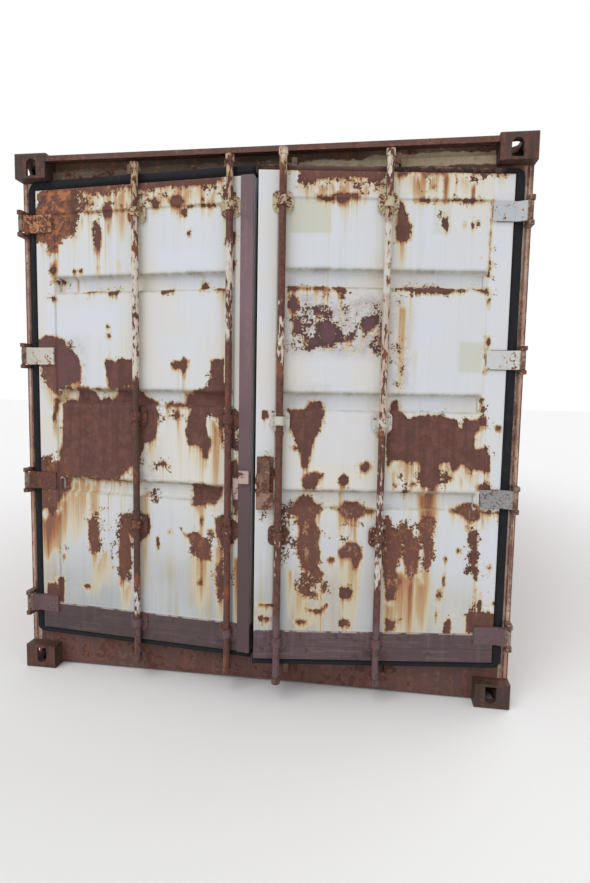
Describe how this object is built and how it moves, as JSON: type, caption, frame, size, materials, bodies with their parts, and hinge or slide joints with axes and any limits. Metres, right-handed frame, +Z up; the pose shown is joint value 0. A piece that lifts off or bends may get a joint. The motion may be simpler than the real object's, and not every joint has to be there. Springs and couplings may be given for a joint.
{
  "type": "shipping container",
  "caption": "Steel dry-goods container with corrugated walls, two hinged end doors standing ajar, turning locking bars, corner castings and forklift pockets.",
  "frame": {"origin": "middle of the base, level with the undersides of the bottom corner castings", "axes": "+X along the container and out of the doorway, +Y to the right of someone who faces the doors, +Z up"},
  "size_m": [6.2007, 2.438, 2.591],
  "materials": {
    "casting_steel": "worn brown paint over rust",
    "frame_steel": "worn brown paint over rust",
    "header_steel": "pale paint with rust",
    "wall_steel": "weathered pale paint with rust",
    "roof_steel": "weathered pale paint with rust",
    "door_steel": "weathered white paint with rust",
    "strip_steel": "dull maroon paint",
    "gear_steel": "rusted steel",
    "bar_steel": "rusted steel with paint left on it",
    "seal_rubber": "dull black",
    "plywood": "worn plywood"
  },
  "bodies": {
    "container": {"bottom_castings_door": "casting_steel", "bottom_castings_front": "casting_steel", "top_castings_door": "casting_steel", "top_castings_front": "casting_steel", "door_post_right": "frame_steel", "door_post_left": "frame_steel", "front_posts": "frame_steel", "door_header": "header_steel", "header_lip": "frame_steel", "door_sill": "frame_steel", "front_top_rail": "frame_steel", "front_bottom_rail": "frame_steel", "top_side_rails": "frame_steel", "bottom_rail_right": "frame_steel", "bottom_rail_left": "frame_steel", "side_wall_right": "wall_steel", "side_wall_left": "wall_steel", "front_wall": "wall_steel", "roof_panel": "roof_steel", "floor_panels_ply": "plywood", "cross_members": "frame_steel", "forklift_pockets": "frame_steel", "hinge_lugs_right": "gear_steel", "hinge_lugs_left": "gear_steel", "header_keepers": "gear_steel", "sill_keepers": "gear_steel"},
    "right_leaf": {"right_stiles": "door_steel", "right_rails": "door_steel", "right_panel": "door_steel", "right_seal": "seal_rubber", "right_hinge_blades": "gear_steel", "right_bar_brackets": "gear_steel", "right_catch": "gear_steel"},
    "left_leaf": {"left_stiles": "door_steel", "left_rails": "door_steel", "left_panel": "door_steel", "left_seal": "seal_rubber", "left_hinge_blades": "gear_steel", "left_bar_brackets": "gear_steel", "left_cover_strip": "strip_steel", "left_catch": "strip_steel"},
    "right_inner_bar_body": {"right_inner_bar": "bar_steel"},
    "right_outer_bar_body": {"right_outer_bar": "bar_steel"},
    "left_inner_bar_body": {"left_inner_bar": "bar_steel"},
    "left_outer_bar_body": {"left_outer_bar": "bar_steel"}
  },
  "joints": [
    {"name": "right_door_swing", "type": "hinge", "parent": "container", "child": "right_leaf", "pos_m": [3.013, 1.203, 1.316], "axis": [0, 0, 1], "range_deg": [-7.8, 258.2]},
    {"name": "left_door_swing", "type": "hinge", "parent": "container", "child": "left_leaf", "pos_m": [3.013, -1.203, 1.316], "axis": [0, 0, -1], "range_deg": [-5.1, 260.9]},
    {"name": "right_inner_bar_turn", "type": "hinge", "parent": "right_leaf", "child": "right_inner_bar_body", "pos_m": [3.14967, 0.13164, 1.305], "axis": [0, 0, -1], "range_deg": [0, 90]},
    {"name": "right_outer_bar_turn", "type": "hinge", "parent": "right_leaf", "child": "right_outer_bar_body", "pos_m": [3.08669, 0.59134, 1.305], "axis": [0, 0, -1], "range_deg": [0, 90]},
    {"name": "left_inner_bar_turn", "type": "hinge", "parent": "left_leaf", "child": "left_inner_bar_body", "pos_m": [3.09967, -0.11941, 1.305], "axis": [0, 0, 1], "range_deg": [0, 90]},
    {"name": "left_outer_bar_turn", "type": "hinge", "parent": "left_leaf", "child": "left_outer_bar_body", "pos_m": [3.0578, -0.58855, 1.305], "axis": [0, 0, 1], "range_deg": [0, 90]}
  ]
}
